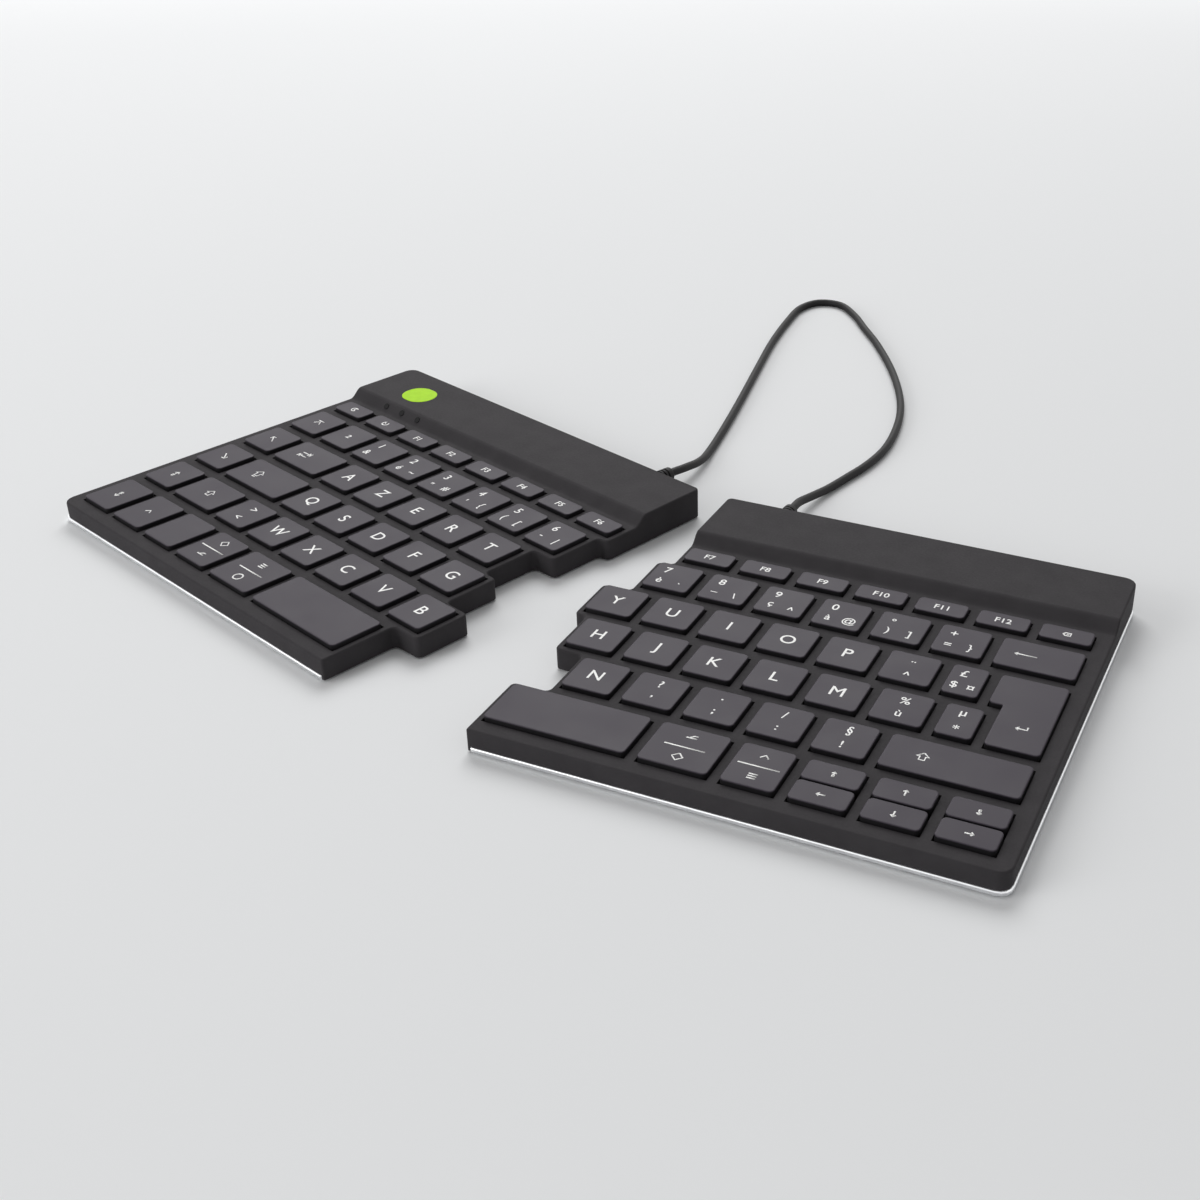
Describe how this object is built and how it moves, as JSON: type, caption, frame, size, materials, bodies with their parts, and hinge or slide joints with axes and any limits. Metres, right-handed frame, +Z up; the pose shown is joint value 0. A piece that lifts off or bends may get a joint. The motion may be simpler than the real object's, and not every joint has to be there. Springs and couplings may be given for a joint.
{
  "type": "ergonomic split keyboard",
  "caption": "Slim keyboard in two angled halves joined by a cable, with low island keys, a raised rear bar, stepped inner edges and a metal base plate under each half.",
  "frame": {"origin": "on the desk under the middle of the box round both halves, the cable left out", "axes": "+Z up from the desk, +Y away from the typist towards the rear bars and the cable, +X to the typist's right"},
  "size_m": [0.3592, 0.3641, 0.0115],
  "materials": {
    "case_plastic": "fine matte moulding, dark warm grey",
    "key_plastic": "smooth satin, dark grey with a slight violet cast",
    "base_metal": "satin sheet with a bright edge",
    "frame_plastic": "plain moulding",
    "membrane_rubber": "thin silicone sheet",
    "board": "green circuit board",
    "foot_rubber": "soft black rubber",
    "screw_steel": "plain steel",
    "cable_rubber": "smooth black jacket",
    "green_lens": "bright green, slightly domed look",
    "dark_lens": "unlit dark lens",
    "battery_foil": "soft foil pouch",
    "socket_steel": "pressed steel shell",
    "switch_plastic": "ribbed black knob"
  },
  "bodies": {
    "right_half": {"right_top_case": "case_plastic", "right_base_plate": "base_metal", "right_key_frame": "frame_plastic", "right_membrane": "membrane_rubber", "right_controller": "board", "right_feet": "foot_rubber", "right_screws": "screw_steel", "right_gland": "cable_rubber"},
    "link_cable": {"link_cable": "cable_rubber"},
    "left_half": {"left_top_case": "case_plastic", "left_base_plate": "base_metal", "left_key_frame": "frame_plastic", "left_membrane": "membrane_rubber", "left_controller": "board", "left_feet": "foot_rubber", "left_screws": "screw_steel", "left_gland": "cable_rubber", "status_lens": "green_lens", "indicator_lenses": "dark_lens", "battery": "battery_foil", "charge_socket": "socket_steel"},
    "power_switch": {"power_switch": "switch_plastic"},
    "key_a": {"key_a": "key_plastic"},
    "key_z": {"key_z": "key_plastic"},
    "key_e": {"key_e": "key_plastic"},
    "key_r": {"key_r": "key_plastic"},
    "key_t": {"key_t": "key_plastic"},
    "key_q": {"key_q": "key_plastic"},
    "key_s": {"key_s": "key_plastic"},
    "key_d": {"key_d": "key_plastic"},
    "key_f": {"key_f": "key_plastic"},
    "key_g": {"key_g": "key_plastic"},
    "key_w": {"key_w": "key_plastic"},
    "key_x": {"key_x": "key_plastic"},
    "key_c": {"key_c": "key_plastic"},
    "key_v": {"key_v": "key_plastic"},
    "key_b": {"key_b": "key_plastic"},
    "left_space": {"left_space": "key_plastic"},
    "left_function_keys": {"left_function_keys": "key_plastic"},
    "left_number_keys": {"left_number_keys": "key_plastic"},
    "left_outer_keys": {"left_outer_keys": "key_plastic"},
    "left_wide_keys": {"left_wide_keys": "key_plastic"},
    "left_bottom_keys": {"left_bottom_keys": "key_plastic"},
    "key_y": {"key_y": "key_plastic"},
    "key_u": {"key_u": "key_plastic"},
    "key_i": {"key_i": "key_plastic"},
    "key_o": {"key_o": "key_plastic"},
    "key_p": {"key_p": "key_plastic"},
    "key_h": {"key_h": "key_plastic"},
    "key_j": {"key_j": "key_plastic"},
    "key_k": {"key_k": "key_plastic"},
    "key_l": {"key_l": "key_plastic"},
    "key_m": {"key_m": "key_plastic"},
    "key_n": {"key_n": "key_plastic"},
    "right_space": {"right_space": "key_plastic"},
    "key_enter": {"key_enter": "key_plastic"},
    "right_function_keys": {"right_function_keys": "key_plastic"},
    "right_number_keys": {"right_number_keys": "key_plastic"},
    "right_symbol_keys": {"right_symbol_keys": "key_plastic"},
    "right_bottom_keys": {"right_bottom_keys": "key_plastic"}
  },
  "joints": [
    {"name": "right_cable_pivot", "type": "hinge", "parent": "right_half", "child": "link_cable", "pos_m": [0.03321, 0.07548, 0.006], "axis": [0, 0, 1], "range_deg": [-12, 6]},
    {"name": "left_cable_pivot", "type": "hinge", "parent": "link_cable", "child": "left_half", "pos_m": [-0.01841, 0.07614, 0.006], "axis": [0, 0, 1], "range_deg": [-15, 6]},
    {"name": "power_switch_slide", "type": "slide", "parent": "left_half", "child": "power_switch", "axis": [0.9863, -0.165, 0], "range_m": [0, 0.003]},
    {"name": "key_a_press", "type": "slide", "parent": "left_half", "child": "key_a", "axis": [0, 0, -1], "range_m": [0, 0.0016], "stiffness_N_per_m": 350},
    {"name": "key_z_press", "type": "slide", "parent": "left_half", "child": "key_z", "axis": [0, 0, -1], "range_m": [0, 0.0016], "stiffness_N_per_m": 350},
    {"name": "key_e_press", "type": "slide", "parent": "left_half", "child": "key_e", "axis": [0, 0, -1], "range_m": [0, 0.0016], "stiffness_N_per_m": 350},
    {"name": "key_r_press", "type": "slide", "parent": "left_half", "child": "key_r", "axis": [0, 0, -1], "range_m": [0, 0.0016], "stiffness_N_per_m": 350},
    {"name": "key_t_press", "type": "slide", "parent": "left_half", "child": "key_t", "axis": [0, 0, -1], "range_m": [0, 0.0016], "stiffness_N_per_m": 350},
    {"name": "key_q_press", "type": "slide", "parent": "left_half", "child": "key_q", "axis": [0, 0, -1], "range_m": [0, 0.0016], "stiffness_N_per_m": 350},
    {"name": "key_s_press", "type": "slide", "parent": "left_half", "child": "key_s", "axis": [0, 0, -1], "range_m": [0, 0.0016], "stiffness_N_per_m": 350},
    {"name": "key_d_press", "type": "slide", "parent": "left_half", "child": "key_d", "axis": [0, 0, -1], "range_m": [0, 0.0016], "stiffness_N_per_m": 350},
    {"name": "key_f_press", "type": "slide", "parent": "left_half", "child": "key_f", "axis": [0, 0, -1], "range_m": [0, 0.0016], "stiffness_N_per_m": 350},
    {"name": "key_g_press", "type": "slide", "parent": "left_half", "child": "key_g", "axis": [0, 0, -1], "range_m": [0, 0.0016], "stiffness_N_per_m": 350},
    {"name": "key_w_press", "type": "slide", "parent": "left_half", "child": "key_w", "axis": [0, 0, -1], "range_m": [0, 0.0016], "stiffness_N_per_m": 350},
    {"name": "key_x_press", "type": "slide", "parent": "left_half", "child": "key_x", "axis": [0, 0, -1], "range_m": [0, 0.0016], "stiffness_N_per_m": 350},
    {"name": "key_c_press", "type": "slide", "parent": "left_half", "child": "key_c", "axis": [0, 0, -1], "range_m": [0, 0.0016], "stiffness_N_per_m": 350},
    {"name": "key_v_press", "type": "slide", "parent": "left_half", "child": "key_v", "axis": [0, 0, -1], "range_m": [0, 0.0016], "stiffness_N_per_m": 350},
    {"name": "key_b_press", "type": "slide", "parent": "left_half", "child": "key_b", "axis": [0, 0, -1], "range_m": [0, 0.0016], "stiffness_N_per_m": 350},
    {"name": "left_space_press", "type": "slide", "parent": "left_half", "child": "left_space", "axis": [0, 0, -1], "range_m": [0, 0.0016], "stiffness_N_per_m": 350},
    {"name": "left_function_keys_press", "type": "slide", "parent": "left_half", "child": "left_function_keys", "axis": [0, 0, -1], "range_m": [0, 0.0016], "stiffness_N_per_m": 2800},
    {"name": "left_number_keys_press", "type": "slide", "parent": "left_half", "child": "left_number_keys", "axis": [0, 0, -1], "range_m": [0, 0.0016], "stiffness_N_per_m": 2450},
    {"name": "left_outer_keys_press", "type": "slide", "parent": "left_half", "child": "left_outer_keys", "axis": [0, 0, -1], "range_m": [0, 0.0016], "stiffness_N_per_m": 1750},
    {"name": "left_wide_keys_press", "type": "slide", "parent": "left_half", "child": "left_wide_keys", "axis": [0, 0, -1], "range_m": [0, 0.0016], "stiffness_N_per_m": 1400},
    {"name": "left_bottom_keys_press", "type": "slide", "parent": "left_half", "child": "left_bottom_keys", "axis": [0, 0, -1], "range_m": [0, 0.0016], "stiffness_N_per_m": 1400},
    {"name": "key_y_press", "type": "slide", "parent": "right_half", "child": "key_y", "axis": [0, 0, -1], "range_m": [0, 0.0016], "stiffness_N_per_m": 350},
    {"name": "key_u_press", "type": "slide", "parent": "right_half", "child": "key_u", "axis": [0, 0, -1], "range_m": [0, 0.0016], "stiffness_N_per_m": 350},
    {"name": "key_i_press", "type": "slide", "parent": "right_half", "child": "key_i", "axis": [0, 0, -1], "range_m": [0, 0.0016], "stiffness_N_per_m": 350},
    {"name": "key_o_press", "type": "slide", "parent": "right_half", "child": "key_o", "axis": [0, 0, -1], "range_m": [0, 0.0016], "stiffness_N_per_m": 350},
    {"name": "key_p_press", "type": "slide", "parent": "right_half", "child": "key_p", "axis": [0, 0, -1], "range_m": [0, 0.0016], "stiffness_N_per_m": 350},
    {"name": "key_h_press", "type": "slide", "parent": "right_half", "child": "key_h", "axis": [0, 0, -1], "range_m": [0, 0.0016], "stiffness_N_per_m": 350},
    {"name": "key_j_press", "type": "slide", "parent": "right_half", "child": "key_j", "axis": [0, 0, -1], "range_m": [0, 0.0016], "stiffness_N_per_m": 350},
    {"name": "key_k_press", "type": "slide", "parent": "right_half", "child": "key_k", "axis": [0, 0, -1], "range_m": [0, 0.0016], "stiffness_N_per_m": 350},
    {"name": "key_l_press", "type": "slide", "parent": "right_half", "child": "key_l", "axis": [0, 0, -1], "range_m": [0, 0.0016], "stiffness_N_per_m": 350},
    {"name": "key_m_press", "type": "slide", "parent": "right_half", "child": "key_m", "axis": [0, 0, -1], "range_m": [0, 0.0016], "stiffness_N_per_m": 350},
    {"name": "key_n_press", "type": "slide", "parent": "right_half", "child": "key_n", "axis": [0, 0, -1], "range_m": [0, 0.0016], "stiffness_N_per_m": 350},
    {"name": "right_space_press", "type": "slide", "parent": "right_half", "child": "right_space", "axis": [0, 0, -1], "range_m": [0, 0.0016], "stiffness_N_per_m": 350},
    {"name": "key_enter_press", "type": "slide", "parent": "right_half", "child": "key_enter", "axis": [0, 0, -1], "range_m": [0, 0.0016], "stiffness_N_per_m": 350},
    {"name": "right_function_keys_press", "type": "slide", "parent": "right_half", "child": "right_function_keys", "axis": [0, 0, -1], "range_m": [0, 0.0016], "stiffness_N_per_m": 2450},
    {"name": "right_number_keys_press", "type": "slide", "parent": "right_half", "child": "right_number_keys", "axis": [0, 0, -1], "range_m": [0, 0.0016], "stiffness_N_per_m": 2450},
    {"name": "right_symbol_keys_press", "type": "slide", "parent": "right_half", "child": "right_symbol_keys", "axis": [0, 0, -1], "range_m": [0, 0.0016], "stiffness_N_per_m": 3150},
    {"name": "right_bottom_keys_press", "type": "slide", "parent": "right_half", "child": "right_bottom_keys", "axis": [0, 0, -1], "range_m": [0, 0.0016], "stiffness_N_per_m": 2800}
  ]
}
